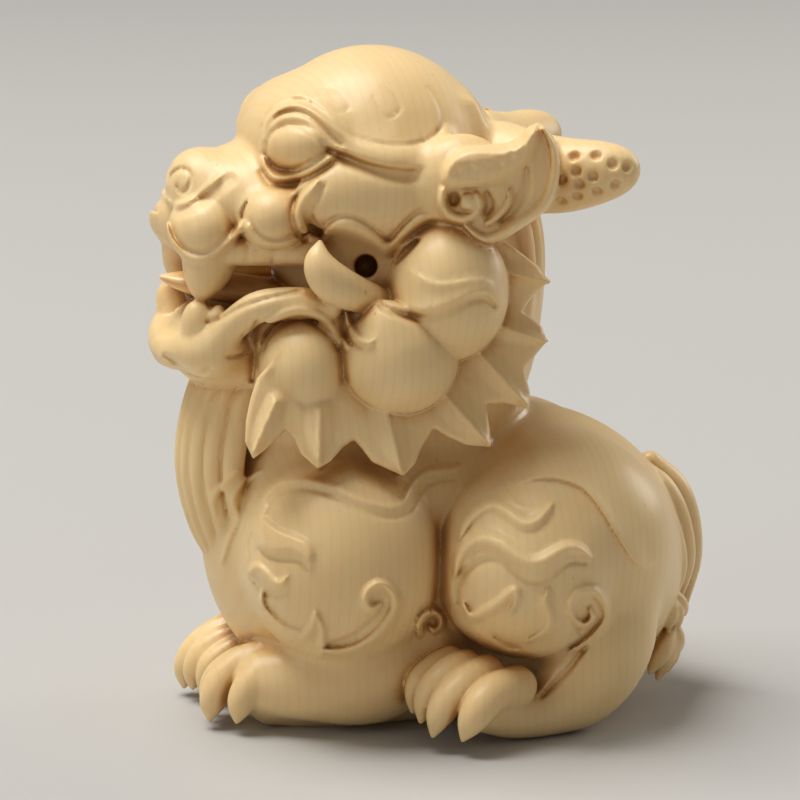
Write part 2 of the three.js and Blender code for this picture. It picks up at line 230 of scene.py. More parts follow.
class Block:
    """The wood: a grid of distances in millimetres, negative inside. It holds the half with x from 0 up."""

    MARGIN = 1.6

    def __init__(self, low, high, step):
        self.step = step
        self.low = np.array([0.0, low[1], low[2]])
        counts = np.ceil((np.array(high) - self.low) / step).astype(int) + 1
        self.axes = [(self.low[i] + step * np.arange(counts[i])).astype(np.float32) for i in range(3)]
        self.gaps = np.full(counts, 8.0, np.float32)

    def window(self, low, high):
        """The cells of a box, and their places along each axis."""
        first = np.floor((np.array(low) - self.low) / self.step).astype(int)
        last = np.ceil((np.array(high) - self.low) / self.step).astype(int) + 1
        cells = tuple(slice(max(a, 0), max(min(b, len(axis)), 0)) for a, b, axis in zip(first, last, self.axes))
        x, y, z = (axis[cell] for axis, cell in zip(self.axes, cells))
        return cells, x[:, None, None], y[None, :, None], z[None, None, :]

    def work(self, form, join, soft):
        """Joins a form and its mirror image to the cells round each."""
        pad = soft + self.MARGIN
        for side in (1, -1):
            low, high = form.low - pad, form.high + pad
            if side < 0:
                if low[0] > 0:
                    continue
                low[0], high[0] = -high[0], -low[0]
            cells, x, y, z = self.window(low, high)
            if high[0] > 0 and self.gaps[cells].size:
                self.gaps[cells] = join(self.gaps[cells], form.distance(np.float32(side) * x, y, z), soft)

    def add(self, form, soft=0.5):
        self.work(form, blend, soft)

    def cut(self, form, soft=0.3):
        self.work(form, lambda wood, tool, k: -blend(-wood, tool, k), soft)

    def sample(self, points):
        """Distance at points, in straight lines between cells. The sign of x makes no difference."""
        q = (np.column_stack([np.abs(points[:, 0]), points[:, 1:]]) - self.low) / self.step
        q = np.clip(q, 0, np.array(self.gaps.shape) - 1.001)
        i = q.astype(int)
        t = q - i
        total = 0
        for corner in np.ndindex(2, 2, 2):
            share = np.prod(np.where(corner, t, 1 - t), axis=1)
            total = total + share * self.gaps[tuple((i + corner).T)]
        return total

    def slope(self, points):
        """Unit direction in which the distance grows, from its difference over a cell either way."""
        reach = np.eye(3) * self.step
        rise = np.column_stack([self.sample(points + way) - self.sample(points - way) for way in reach])
        return rise / (np.linalg.norm(rise, axis=1, keepdims=True) + 1e-9)

    def touch(self, u, v, depth):
        """Point a little under the near surface where a pixel's ray meets it."""
        way = sight(u, v)
        gone = VIEW_DISTANCE - 45.0
        for _ in range(240):
            gone += 0.7 * float(np.clip(self.sample((EYE_POINT + way * gone)[None])[0], -0.3, 0.6))
        return EYE_POINT + way * (gone + depth)

    def whole(self):
        return np.concatenate([self.gaps[:0:-1], self.gaps])


class Relief:
    """A drawing of heights in millimetres over the picture's frame, laid on the near side of the wood."""

    FINE = 2

    def __init__(self):
        side = PICTURE_SIDE * self.FINE
        self.raised, self.ridges, self.grooves = (np.zeros((side, side), np.float32) for _ in range(3))

    def region(self, points, pad):
        """The cells of the drawing round some points, with the pixel at each."""
        low = np.maximum(np.floor((points.min(0) - pad) * self.FINE).astype(int), 0)
        high = np.minimum(np.ceil((points.max(0) + pad) * self.FINE).astype(int), PICTURE_SIDE * self.FINE - 1)
        v, u = np.mgrid[low[1]:high[1] + 1, low[0]:high[0] + 1].astype(np.float32)
        return (slice(low[1], high[1] + 1), slice(low[0], high[0] + 1)), u / self.FINE, v / self.FINE

    def line(self, layer, points, half_width, height, roundness):
        """Stroke of height h (1 - g^2)^roundness, where g is the distance from its line over its half width."""
        places = np.linspace(0, 1, len(points))
        widths = np.interp(places, np.linspace(0, 1, np.size(half_width)), np.atleast_1d(half_width))
        rows = curve(np.column_stack([points, widths]), 7)
        cells, u, v = self.region(rows[:, :2], rows[:, 2].max() * 1.2)
        best = np.full(u.shape, 9.0, np.float32)
        for (a, b, wa), (c, d, wb) in zip(rows[:-1], rows[1:]):
            e, f = c - a, d - b
            t = np.clip(((u - a) * e + (v - b) * f) / max(e * e + f * f, 1e-6), 0, 1)
            best = np.minimum(best, np.hypot(u - a - t * e, v - b - t * f) / np.maximum(wa + t * (wb - wa), 0.3))
        shape = np.clip(1 - best ** 2, 0, 1) ** roundness * height
        layer[cells] = np.maximum(layer[cells], shape)

    def ridge(self, points, half_width, height, roundness=1.5):
        self.line(self.ridges, points, half_width, height, roundness)

    def groove(self, points, half_width, depth, roundness=1.5):
        self.line(self.grooves, points, half_width, depth, roundness)

    def fold(self, points, fade, height, edge):
        """Step along a line. It rises on the left of the walk within `edge` pixels, then fades out over `fade`
        pixels as the square of what is left, and it dies away towards both ends."""
        rows = curve(points, 6)
        cells, u, v = self.region(rows, fade + edge)
        best, signed, along = np.full(u.shape, 1e6, np.float32), np.zeros(u.shape), np.zeros(u.shape)
        for i, ((a, b), (c, d)) in enumerate(zip(rows[:-1], rows[1:])):
            e, f = c - a, d - b
            t = np.clip(((u - a) * e + (v - b) * f) / max(e * e + f * f, 1e-6), 0, 1)
            gap = np.hypot(u - a - t * e, v - b - t * f)
            nearer = gap < best
            best = np.where(nearer, gap, best)
            signed = np.where(nearer, np.where((u - a) * f > (v - b) * e, gap, -gap), signed)
            along = np.where(nearer, (i + t) / (len(rows) - 1), along)
        step = np.clip(signed / edge + 0.5, 0, 1)
        rest = np.clip(1 - np.maximum(signed, 0) / fade, 0, 1)
        ends = np.clip(5 * np.minimum(along, 1 - along), 0, 1)
        self.raised[cells] += height * step * step * (3 - 2 * step) * rest * rest * ends

    def plate(self, outline, height, edge):
        """Area raised by a height, with a smooth step at its edge that many pixels wide."""
        loop = curve(np.vstack([outline, outline[:1]]), 6)
        cells, u, v = self.region(loop, edge + 2)
        share = np.clip(0.5 - inside_loop(u, v, loop) / edge, 0, 1)
        self.raised[cells] += height * share * share * (3 - 2 * share)

    def dome(self, centre, half, height):
        """Swelling over an oval, as the upper half of an egg. A negative height hollows."""
        cells, u, v = self.region(np.array([centre], float), max(half) + 1)
        r = ((u - centre[0]) / half[0]) ** 2 + ((v - centre[1]) / half[1]) ** 2
        self.raised[cells] += height * np.sqrt(np.clip(1 - r, 0, 1))

    def lay(self, block, low, high, reach=2.0):
        """Moves the wood's surface out by the drawn height, in the cells of a box that lie near the surface. Where
        the surface turns away from the camera, the height falls to nought."""
        drawing = self.raised + self.ridges - self.grooves
        cells, x, y, z = block.window(low, high)
        gaps = block.gaps[cells]
        near = np.abs(gaps) < reach
        i, j, k = np.nonzero(near)
        places = np.stack([x[i, 0, 0], y[0, j, 0], z[0, 0, k]], 1)
        facing = block.slope(places) @ BACK
        u, v = to_picture(x[i, 0, 0], y[0, j, 0], z[0, 0, k])
        u = np.clip(u * self.FINE, 0, drawing.shape[1] - 2)
        v = np.clip(v * self.FINE, 0, drawing.shape[0] - 2)
        iu, iv = u.astype(int), v.astype(int)
        tu, tv = u - iu, v - iv
        upper = drawing[iv, iu] * (1 - tu) + drawing[iv, iu + 1] * tu
        lower = drawing[iv + 1, iu] * (1 - tu) + drawing[iv + 1, iu + 1] * tu
        gaps[near] -= (upper * (1 - tv) + lower * tv) * np.clip((facing - 0.05) / 0.3, 0, 1)
        block.gaps[cells] = gaps


# The carved drawing, by part of the figure. A ridge or groove has its points in pixels, its half widths in pixels
# along the line, and its height in millimetres. A fold has its points, the pixels over which its raised side, on
# the left of the walk, fades out, its height, and the width of its step. A plate has its outline, height and edge.

HEAD_RIDGES = {
    "brow band": ([(264, 140), (268, 122), (278, 110), (292, 105), (306, 108), (322, 118), (338, 131), (356, 143),
                   (378, 150), (400, 153), (424, 151), (440, 142), (447, 132)],
                  [4, 5, 5.5, 7, 10, 14, 14, 9], 0.5),
    "upper lid": ([(262, 150), (265, 136), (274, 124), (284, 118), (296, 117), (308, 121), (320, 132), (331, 144),
                   (342, 150)], 5, 0.3),
    "lower lid": ([(263, 158), (267, 170), (276, 177), (290, 177), (308, 171), (322, 163), (334, 154)], 5.5, 0.42),
    "nostril wing": ([(165, 200), (173, 205), (184, 203), (196, 196), (208, 187), (218, 178)], 5, 0.25),
    "front lip rim": ([(166, 222), (170, 238), (179, 251), (191, 258), (204, 259), (217, 253), (229, 243),
                       (238, 231), (243, 222)], [4, 5.5, 6, 5.5, 4], 0.5),
    "rear lip rim": ([(247, 226), (253, 236), (263, 243), (276, 245), (290, 243), (303, 237)], 5, 0.42),
    "hook": ([(318, 181), (311, 190), (303, 200), (299, 211), (301, 224), (309, 234), (320, 237), (330, 229)],
             [3, 6, 7.5, 7.5, 7, 7, 6, 4], 0.5),
    "cheek rim": ([(322, 237), (332, 228), (346, 226), (359, 230), (372, 238), (384, 248), (393, 246), (404, 234),
                   (416, 223), (430, 217), (446, 218)], [4, 7, 9, 10, 10, 10, 9, 8, 7, 6, 4], 0.62),
}
HEAD_GROOVES = {
    "brow edge": ([(262, 128), (268, 114), (280, 104), (294, 99), (306, 101), (320, 110), (336, 124), (355, 136),
                   (375, 142), (402, 144), (426, 140), (438, 130), (441, 115), (436, 99), (428, 87)],
                  [2, 3.2, 3.2, 3, 2], 0.2),
    "under the brow": ([(328, 150), (342, 157), (362, 166), (386, 173), (410, 176), (428, 173), (444, 163)],
                       [4, 9, 11, 10, 5], 0.6),
    "over the lid": ([(264, 134), (270, 121), (280, 113), (293, 110), (305, 112), (317, 121), (330, 134), (341, 144)],
                     2.5, 0.15),
    "top of the eye": ([(266, 152), (269, 139), (278, 130), (290, 125), (302, 127), (314, 137), (326, 148)], 2.6, 0.2),
    "foot of the eye": ([(265, 156), (270, 165), (280, 169), (292, 168), (308, 162), (324, 152)], 2.6, 0.2),
    "under the lid": ([(262, 172), (270, 185), (286, 186), (306, 180), (322, 171), (336, 160)], 5.5, 0.28),
    "brow swirl": ([(372, 95), (380, 110), (388, 118), (396, 115), (400, 108), (395, 95), (385, 85)],
                   [1, 2.8, 2.8, 1], 0.12),
    "front swirl": ([(318, 92), (330, 88), (345, 94), (350, 106), (340, 112), (330, 104)], [1, 2.8, 2.8, 1], 0.08),
    "nostril": ([(169, 197), (167, 186), (171, 176), (179, 169), (188, 171), (191, 179), (188, 188), (181, 192),
                 (177, 186)], 2.8, 0.32),
    "under the nose": ([(166, 211), (182, 211), (198, 203), (214, 192), (230, 180)], 9, 0.3),
    "front lip": ([(170, 218), (174, 234), (183, 245), (193, 250), (203, 250), (214, 245), (225, 235), (234, 225)],
                  2.6, 0.16),
    "rear lip": ([(250, 221), (257, 231), (268, 237), (279, 238), (292, 235), (303, 229)], 2.6, 0.16),
    "between the lips": ([(243, 224), (243, 212), (247, 202)], [5, 1.5], 0.4),
    "left of the hook": ([(312, 180), (302, 191), (294, 203), (291, 216), (294, 229), (303, 240)],
                         [1.5, 4, 5, 5, 4], 0.32),
    "inside the hook": ([(324, 186), (319, 198), (312, 208), (313, 219), (321, 227)], 3, 0.3),
    "over the cheek rim": ([(325, 229), (334, 218), (347, 215), (361, 219), (373, 228), (385, 238), (392, 237),
                            (402, 225), (414, 213), (428, 208), (442, 210)], 3.2, 0.22),
    "cheek slot": ([(396, 262), (407, 251), (418, 240)], [3, 4.5, 3], 0.7),
    "tooth": ([(248, 246), (248, 262)], 2, 0.22),
    "second tooth": ([(273, 249), (273, 263)], 2, 0.22),
    "gum": ([(207, 322), (222, 318), (236, 310), (250, 304), (270, 298), (300, 291)], 3, 0.3),
    "chin curl": ([(244, 335), (249, 344), (246, 353), (237, 356), (228, 357)], 3, 0.4),
    "chin": ([(165, 356), (175, 362), (186, 370), (200, 374), (209, 368)], 3.2, 0.35),
    "jaw": ([(258, 322), (254, 340), (254, 360), (252, 380)], [4, 5, 5, 4], 0.5),
}
HEAD_FOLDS = {
    "forehead": ([(262, 128), (268, 114), (280, 104), (294, 99), (306, 101), (320, 110), (336, 124), (355, 136),
                  (375, 142), (402, 144), (426, 140), (438, 130), (441, 115), (436, 99), (428, 87)], 24, 0.3, 4),
    "brow": ([(324, 146), (342, 151), (362, 160), (386, 166), (410, 168), (428, 165), (446, 152)], 24, 0.7, 5),
}
EYEBALL = ((295, 147), (31, 22), 0.9)

CURL_RIDGES = {
    "hood": ([(258, 345), (262, 332), (275, 320), (290, 312), (305, 311), (321, 317), (335, 331), (345, 346)],
             6, 0.4),
    "small hook": ([(346, 312), (349, 325), (356, 337), (367, 343), (374, 340)], [2, 5, 6, 5, 2], 0.5),
}
CURL_GROOVES = {
    "hood": ([(263, 350), (268, 338), (280, 326), (291, 320), (304, 319), (318, 327), (330, 339), (338, 350)],
             2.8, 0.28),
    "small hook": ([(342, 318), (344, 331), (350, 342), (360, 349)], 2.6, 0.3),
    "under the band": ([(381, 306), (394, 313), (409, 317), (425, 318), (441, 315), (458, 308), (472, 301),
                        (484, 299), (493, 306)], 5, 0.35),
}
CURL_FOLDS = {
    "band": ([(376, 300), (392, 307), (408, 311), (424, 312), (440, 309), (456, 302), (470, 295), (484, 293),
              (494, 299), (500, 310)], 20, 0.5, 4),
    "over the band": ([(498, 290), (488, 280), (474, 278), (458, 281), (442, 283), (428, 280), (415, 272),
                       (404, 262)], 14, 0.3, 4),
}
SHOULDER_RIDGES = {
    "mane edge": ([(262, 512), (265, 497), (276, 485), (290, 480), (308, 480), (330, 485), (352, 495), (372, 503),
                   (392, 507), (404, 501), (410, 489), (418, 479), (430, 471), (446, 470), (460, 467)],
                  [4, 6, 6, 6, 6, 4], 0.3),
    "second flame": ([(250, 572), (257, 567), (264, 573), (272, 582), (280, 584), (287, 577)],
                     [3, 6, 7, 7, 6, 1.5], 0.5),
    "third flame": ([(262, 590), (262, 604), (271, 618), (286, 632), (302, 637), (311, 628), (316, 611)],
                    [2, 3.5, 5, 8, 9, 7, 1.5], 0.55),
    "spur": ([(315, 612), (321, 627), (322, 642), (322, 654)], [1.5, 5, 6, 4], 0.5),
    "scroll": ([(322, 650), (340, 651), (358, 647), (376, 636), (390, 620), (396, 604), (391, 590), (380, 584),
                (369, 590), (365, 601), (372, 609), (380, 604)], [2, 5, 6.5, 8, 8, 7.5, 6.5, 6.5, 6.5, 6, 5, 3], 0.8),
    "elbow curl": ([(419, 636), (420, 622), (428, 613), (438, 614), (441, 624), (434, 631), (429, 626)],
                   [3, 6, 6, 6, 5, 4, 2], 0.7),
    "breast": ([(262, 470), (243, 482), (233, 500), (237, 516), (228, 540), (222, 562)], [2, 5, 5, 5, 2], 0.3),
    "breast edge": ([(240, 470), (224, 484), (213, 500), (215, 515)], [2, 5, 5, 2], 0.3),
}
SHOULDER_GROOVES = {
    "mane edge": ([(268, 515), (276, 499), (290, 490), (308, 490), (330, 495), (352, 505), (372, 514), (392, 518),
                   (408, 511), (416, 498), (425, 487), (438, 481), (455, 479)], [2, 3.5, 4, 4, 3.5, 2], 0.22),
    "first flame": ([(258, 548), (268, 557), (282, 560), (298, 562), (308, 570)], [2, 4, 4, 2], 0.25),
    "breast line": ([(252, 534), (249, 548), (251, 562)], [1.5, 3.5, 1.5], 0.22),
    "second flame": ([(254, 582), (262, 592), (274, 597), (288, 591)], [1.5, 4, 1.5], 0.22),
    "scroll": ([(332, 641), (346, 638), (358, 632), (370, 622), (380, 611), (383, 600)], [1.5, 4, 4, 2], 0.25),
}
FIRST_FLAME = ([(256, 534), (260, 516), (266, 520), (280, 530), (296, 536), (308, 543), (313, 555), (309, 565),
                (300, 557), (288, 552), (274, 553), (260, 548)], 0.6, 8)
HAUNCH_RIDGES = {
    "top flame": ([(460, 538), (468, 521), (480, 509), (494, 505), (508, 512), (522, 522), (534, 522), (545, 513),
                   (553, 502)], [3, 7, 8, 8, 9, 9, 8, 6, 1.5], 0.55),
    "long flame": ([(455, 574), (460, 556), (470, 543), (484, 539), (500, 544), (514, 554), (528, 562),
                    (541, 562), (554, 555), (567, 548), (580, 549), (592, 559)],
                   [3, 7, 10, 11, 11, 11, 10, 10, 10, 9, 7, 1.5], 0.7),
    "low flame": ([(463, 604), (470, 616), (484, 612), (498, 604), (508, 595), (514, 591), (517, 598), (510, 614)],
                  [2, 6, 7.5, 7.5, 7, 6, 5, 2], 0.6),
    "standing flame": ([(549, 588), (545, 602), (549, 614), (550, 625), (543, 633), (529, 640)],
                       [1.5, 6.5, 7.5, 8, 6, 2], 0.6),
    "spiral": ([(570, 651), (584, 644), (598, 632), (607, 618), (605, 602), (593, 591), (578, 594), (570, 606),
                (573, 619), (584, 625), (592, 618), (590, 609)],
               [2, 5, 6.5, 7, 7, 7, 6.5, 6, 5, 4.5, 4, 3], 0.6),
}
HAUNCH_GROOVES = {
    "long flame": ([(458, 602), (458, 586), (464, 573), (475, 564), (490, 560), (506, 565), (518, 575), (530, 581),
                    (545, 580), (558, 571), (571, 563), (586, 564)], [4, 6, 6, 5, 4, 2], 0.35),
    "small arc": ([(494, 636), (507, 645), (519, 648)], [1.5, 4, 1.5], 0.25),
    "spiral": ([(580, 634), (572, 622), (566, 606)], [1.5, 3, 1.5], 0.2),
    "leg": ([(586, 646), (570, 667), (554, 684), (541, 697)], [3, 5, 5, 3], 0.5),
}
HAUNCH_FOLDS = {
    "leaf": ([(511, 490), (526, 482), (545, 478), (562, 480), (580, 487), (594, 501), (606, 519), (618, 538),
              (630, 557), (641, 569), (651, 567), (656, 558)], 26, 0.6, 4),
    "leaf hook": ([(549, 503), (536, 508), (523, 506), (513, 500), (509, 490)], 9, 0.35, 4),
}
HAUNCH_HOLLOW = ([(462, 592), (462, 574), (474, 564), (492, 562), (512, 570), (532, 581), (550, 580), (566, 570),
                  (588, 572), (596, 596), (588, 626), (556, 644), (520, 648), (482, 630)], -0.28, 12)

# The ear: its outline, its upper lobe, and its strokes.
EAR_OUTLINE = [(445, 211), (438, 196), (441, 178), (452, 157), (465, 148), (488, 144), (508, 142), (520, 136),
               (529, 126), (538, 121), (549, 130), (556, 144), (559, 161), (558, 181), (553, 199), (543, 213),
               (526, 225), (508, 237), (491, 245), (479, 244), (470, 234), (456, 223)]
EAR_LOBE = ([(443, 181), (447, 167), (456, 155), (470, 150), (486, 149), (502, 149), (520, 145), (531, 132),
             (536, 128), (535, 143), (526, 160), (511, 172), (497, 179), (473, 184), (450, 186)], 1.1, 8)
EAR_RIDGES = {
    "swell": ([(452, 172), (475, 166), (500, 163), (520, 153), (532, 138)], 15, 0.4),
    "lobe edge": ([(444, 189), (458, 186), (474, 184), (497, 180), (511, 173), (526, 161), (535, 145), (539, 130)],
                  [3, 4, 5, 5, 5, 5, 4, 2], 0.4),
    "rim": ([(543, 128), (552, 143), (555, 162), (553, 182), (547, 199), (536, 212), (520, 223), (502, 234),
             (487, 239), (476, 235), (466, 226)], [3, 5, 6, 7, 7, 7, 7, 7, 6, 5, 3], 0.8),
    "root curl": ([(443, 190), (442, 204), (449, 215), (462, 219), (474, 214), (480, 203), (476, 194)],
                  [5, 6, 6.5, 6, 5.5, 5, 3], 0.9),
    "rib": ([(510, 190), (508, 203), (499, 215), (486, 224)], [2, 4.5, 5, 3], 0.8),
}
EAR_GROOVES = {
    "channel": ([(527, 168), (524, 190), (514, 208), (500, 222)], [4, 8, 8, 4], 0.45),
    "behind the ball": ([(486, 192), (490, 204), (486, 214)], [4, 8, 4], 0.6),
}
EAR_DOMES = [((468, 202), (9, 9), 0.9), ((454, 199), (7, 8), -1.0)]

# The mane collar: its outline, and each spike's ridge from its root to its tip, with the roof's half width.
COLLAR_OUTLINE = [(257, 378), (250, 400), (246, 420), (245, 442), (253, 459), (264, 451), (276, 439), (286, 430),
                  (294, 438), (301, 454), (318, 469), (331, 461), (343, 447), (354, 440), (362, 449), (372, 462),
                  (403, 476), (415, 464), (421, 448), (434, 429), (446, 436), (466, 445), (491, 447), (490, 431),
                  (486, 405), (504, 403), (529, 409), (530, 392), (524, 368), (535, 356), (547, 341), (542, 327),
                  (522, 311), (533, 296), (549, 281), (538, 266), (515, 248), (500, 238), (440, 240), (380, 300),
                  (300, 330)]
COLLAR_SPIKES = [((276, 402), (254, 452), 13), ((320, 410), (319, 463), 17), ((386, 408), (401, 472), 19),
                 ((442, 392), (489, 444), 19), ((478, 352), (527, 405), 16), ((498, 326), (546, 341), 13),
                 ((504, 272), (549, 282), 13)]
HORN_DIMPLES = [(574, 156), (596, 155), (613, 164), (628, 167), (576, 172), (562, 180), (593, 177), (579, 185),
                (616, 185), (577, 197), (597, 192), (561, 202), (552, 112)]

# Rods by pixel and distance from the middle, with their radii in millimetres.
FRONT_TOES = [
    ([(290, 664, 8), (266, 671, 8.4), (250, 686, 9), (241, 703, 9.2), (237, 721, 9.2)], [2.1, 1.6, 1.6, 1.3, 0.3]),
    ([(266, 656, 6), (240, 665, 6), (222, 682, 6.2), (213, 700, 6.4), (210, 719, 6.4)], [1.9, 1.6, 1.6, 1.3, 0.3]),
    ([(264, 656, 4), (238, 662, 4), (219, 676, 4), (211, 692, 4), (209, 708, 4)], [1.7, 1.5, 1.45, 1.15, 0.3]),
    ([(262, 656, 2.2), (240, 662, 2.1), (222, 674, 2), (214, 688, 2), (211, 702, 2)], [1.5, 1.35, 1.35, 1, 0.3]),
]
HIND_TOES = [
    ([(516, 686, 18), (496, 691, 20.6), (482, 704, 21.8), (472, 720, 22.2), (463, 739, 22.2)], [2, 1.75, 1.7, 1.35, 0.3]),
    ([(486, 674, 16.6), (468, 682, 18.8), (452, 697, 19.8), (440, 714, 20), (433, 735, 20)], [1.9, 1.7, 1.6, 1.3, 0.3]),
    ([(466, 668, 15), (450, 673, 16.6), (435, 686, 17.4), (426, 702, 17.6), (421, 721, 17.6)], [1.8, 1.6, 1.5, 1.2, 0.3]),
    ([(450, 662, 13.4), (436, 667, 14.4), (422, 680, 15), (415, 694, 15.2), (413, 711, 15.2)], [1.6, 1.4, 1.4, 1, 0.3]),
]
TAIL_STRANDS = [
    ([(650, 462, 0), (672, 488, 0), (685, 520, 0), (688, 560, 0), (684, 602, 0.5)], [1.1, 1.6, 1.5, 1.3, 0.5]),
    ([(640, 468, 2.6), (661, 490, 3), (676, 522, 3.2), (682, 560, 3), (677, 600, 2.8)], [1, 1.5, 1.5, 1.3, 0.5]),
    ([(638, 484, 5.4), (655, 505, 5.9), (669, 536, 6.1), (675, 568, 5.8), (670, 602, 5.2)], [0.8, 1.4, 1.4, 1.2, 0.5]),
    ([(640, 506, 8), (652, 528, 8.4), (663, 554, 8.2), (667, 582, 7.6)], [0.6, 1.2, 1.2, 0.4]),
]
TAIL_TUFTS = [
    ((655, 583, 8.4), [(637, 620, 10.8), (644, 634, 10.4), (654, 632, 9.8), (662, 616, 9)]),
    ((668, 592, 6.2), [(668, 628, 7.4), (677, 628, 6.4), (684, 614, 5.2)]),
    ((674, 624, 6), [(650, 672, 8.6), (658, 678, 7.6), (667, 670, 6.6), (674, 654, 5.6)]),
]


def body(block):
    """Chest, back, rump and neck, the shoulder and forearm, and the flank, haunch and hind leg."""
    block.add(egg((0, -8, 17), (14, 13.9, 15.5)), 0)
    block.add(egg((0, 4, 16.4), (12.6, 15, 12.6)), 3)
    block.add(egg((0, 11, 14), (16, 14, 13.8)), 2.5)
    block.add(egg((0, -0.8, 40), (11.4, 11.4, 17)), 3)
    block.add(egg((0, -9, 34), (9, 10, 8.5)), 3)
    block.add(egg((9.2, -10.4, 16.8), (10, 9.6, 10.2)), 0.8)
    block.add(stem([(9, -3, 7), (10, -8, 5.4), (9.6, -13, 5), (7.8, -17.5, 4.6)], [4.4, 4.8, 4, 3.2]), 1.6)
    block.add(stem([(6.6, -3, 3), (6.6, -10, 2.6), (6.4, -16.5, 2.8)], [3.4, 3.4, 2.8]), 1)
    block.add(egg((9, 12, 17), (10.4, 10.4, 9.6)), 2)
    block.add(egg(at(524, 560, 12.4), (10.8, 8.9, 9.3)), 0.5)
    block.add(egg(at(566, 520, 10.4), (9.4, 8, 8)), 3)
    hind_leg = [(11, 13.6, 14), (12.8, 13.8, 9), (14.6, 11.8, 4.8), (16.4, 8, 2.5), (17.6, 4.2, 2.4), (18.4, 1.4, 3.6)]
    block.add(stem(hind_leg, [6, 5.8, 4.4, 2.5, 2.1, 2.4]), 1.2)
    undercut = [(290, 741, 15.5), (340, 738, 17), (390, 738, 17.4)]
    block.cut(stem(path(undercut), [1.2, 2.6, 2]), 1.6)


def paws(block):
    """Toes with claws that bend down to the floor."""
    for rows, radii in FRONT_TOES + HIND_TOES:
        block.add(stem(path(rows), radii, 7), 0.3)


def mane(block):
    """Strands that hang from the crown down the back of the neck."""
    for x in (0, 2.4, 4.8, 7.2):
        fore = 0.05 * x * x
        strand = [(0.8 * x, 3, 59), (0.95 * x, 7.2 - fore, 54), (x, 10.1 - fore, 47), (x, 10.2 - fore, 39),
                  (0.95 * x, 8.8 - fore, 31)]
        block.add(stem(strand, [0.6, 1.2, 1.3, 1.2, 0.4]), 0.3)


def head(block):
    """Skull, forehead, muzzle, nose, cheek and jaw, the hollow of the mouth, and the pads of the upper lip."""
    block.add(egg((0, -5.2, 53), (12, 11, 11)), 2)
    block.add(egg((0, -11.4, 56.4), (10.4, 6.4, 5.4), 14), 1)
    block.add(egg((0, -15.6, 50.6), (8.4, 8.6, 4.8)), 1.4)
    block.add(egg((0, -22, 51.6), (4.2, 2.9, 3.3)), 1.2)
    block.add(egg((10.2, -6.8, 51.6), (3.6, 8.2, 4.2)), 1.5)
    block.add(egg((0, -15.2, 36.6), (8.4, 10, 5.4)), 1.2)
    block.cut(egg((0, -17, 43.2), (10.4, 8.6, 3.4), -4), 0.8)
    mouth_line = [(215, 285, 7), (240, 284, 9), (270, 279, 10.5), (305, 270, 11.5)]
    block.cut(stem(path(mouth_line), [1.6, 1.7, 1.6, 1.5]), 0.5)
    block.add(egg((0, -9.5, 44), (6.4, 5.6, 4.2)), 0.5)
    block.add(egg(at(205, 228, 3.6), (4.6, 3.4, 3.5)), 0.4)
    block.add(egg(at(272, 218, 8), (3.8, 3.2, 3)), 1)


def collar_middle(y, z):
    """How far out the collar's middle surface lies: it flares with the distance from the curls, most at the foot."""
    dy, dz = y + 4.5, z - 39.5
    far = np.clip(np.sqrt(dy * dy + dz * dz) - 6, 0, 9)
    low = np.clip(1 - np.abs((np.arctan2(dz, dy) + 1.35) / 1.5) ** 2, 0, 1)
    return 11 + 1.2 * low + (0.12 + 0.3 * low) * far


def collar(block):
    """The collar's leaf, with a roof and a fine ridge along each spike."""
    box = (6, -22, 24), (20, 11, 50)
    block.add(sheet(np.array(COLLAR_OUTLINE), collar_middle, 1.8, *box, 0.6), 0.3)
    drawing = Relief()
    for root, tip, width in COLLAR_SPIKES:
        middle = ((root[0] + tip[0]) / 2, (root[1] + tip[1]) / 2)
        drawing.ridge([root, middle, tip], [width, width, 3], 0.55, 2)
        drawing.line(drawing.raised, [root, middle, tip], [2, 3, 2.4], 0.3, 1)
    drawing.lay(block, *box, 1.0)


def curls(block):
    """The three round curls of the cheek."""
    block.add(egg(at(303, 367, 10), (4.8, 4.2, 4.8)), 0.12)
    block.add(egg(at(398, 359, 12), (5.7, 5.7, 5.3)), 0.12)
    block.add(stem(path([(398, 350, 13.5), (388, 326, 14.2), (380, 306, 13.6)]), [4, 2.4, 0.5]), 1.2)
    block.add(egg(at(448, 290, 12), (6.2, 5.7, 6.7)), 0.12)


def mouth(block):
    """The lower lip's roll, the chin's curl, the canines, the row of upper teeth and the tongue."""
    lip = [(171, 348, 0), (178, 352, 3), (190, 349, 5.4), (207, 345, 7), (222, 336, 8.2), (240, 319, 9.2),
           (262, 306, 10.4), (300, 303, 11.4), (330, 306, 12)]
    block.add(stem(path(lip), [1.7, 1.7, 1.7, 1.6, 1.5, 1.5, 1.5, 1.5, 1.2]), 0.6)
    block.add(egg(at(214, 352, 6.2), (3.2, 3.4, 2.5)), 1.2)
    upper = [(212, 246, 4.6), (208, 266, 5.2), (204, 284, 5.8), (203, 301, 6)]
    block.add(stem(path(upper), [2.9, 2.4, 1.5, 0.2]), 0.25)
    lower = [(202, 344, 5.6), (200, 330, 6.2), (197, 315, 6.4), (199, 300, 6.2)]
    block.add(stem(path(lower), [2, 1.8, 1.3, 0.2]), 0.25)
    block.add(stem(path([(220, 332, 7), (217, 322, 7.2), (218, 311, 7.2)]), [1.3, 1.2, 0.6]), 0.25)
    block.add(stem(path([(222, 252, 6.2), (262, 252, 7.6), (308, 252, 9.4)]), [1.3, 1.3, 1.3]), 0.3)
    tongue = [(0, -13, 40.6), (0, -18, 41.4), (0, -22, 42.3), (0, -25.2, 42.9)]
    block.add(stem(tongue, [3.4, 3.2, 2.6, 0.7], flat=0.4), 0.3)


